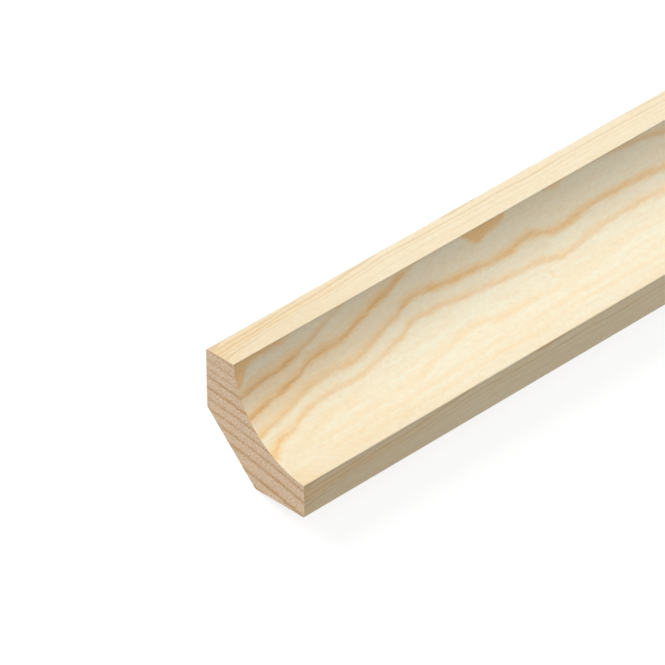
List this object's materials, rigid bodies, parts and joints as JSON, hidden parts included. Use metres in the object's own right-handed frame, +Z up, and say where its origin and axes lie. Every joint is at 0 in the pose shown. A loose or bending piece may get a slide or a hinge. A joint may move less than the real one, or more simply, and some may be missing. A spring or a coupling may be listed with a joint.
{
  "type": "scotia moulding",
  "caption": "Straight pine scotia moulding: a square strip with a concave cove between flat lands and a bevelled back corner, to cover the joint of a floor and a wall.",
  "frame": {"origin": "middle of the bevelled back face, on which the moulding lies", "axes": "+X along the length, away from the end that the picture shows; +Y from the floor face to the wall face; +Z up, out of the cove"},
  "size_m": [2.4, 0.0294, 0.0117],
  "materials": {
    "pine": "planed and sanded bare pine"
  },
  "bodies": {
    "root": {"scotia_moulding": "pine"}
  },
  "joints": []
}
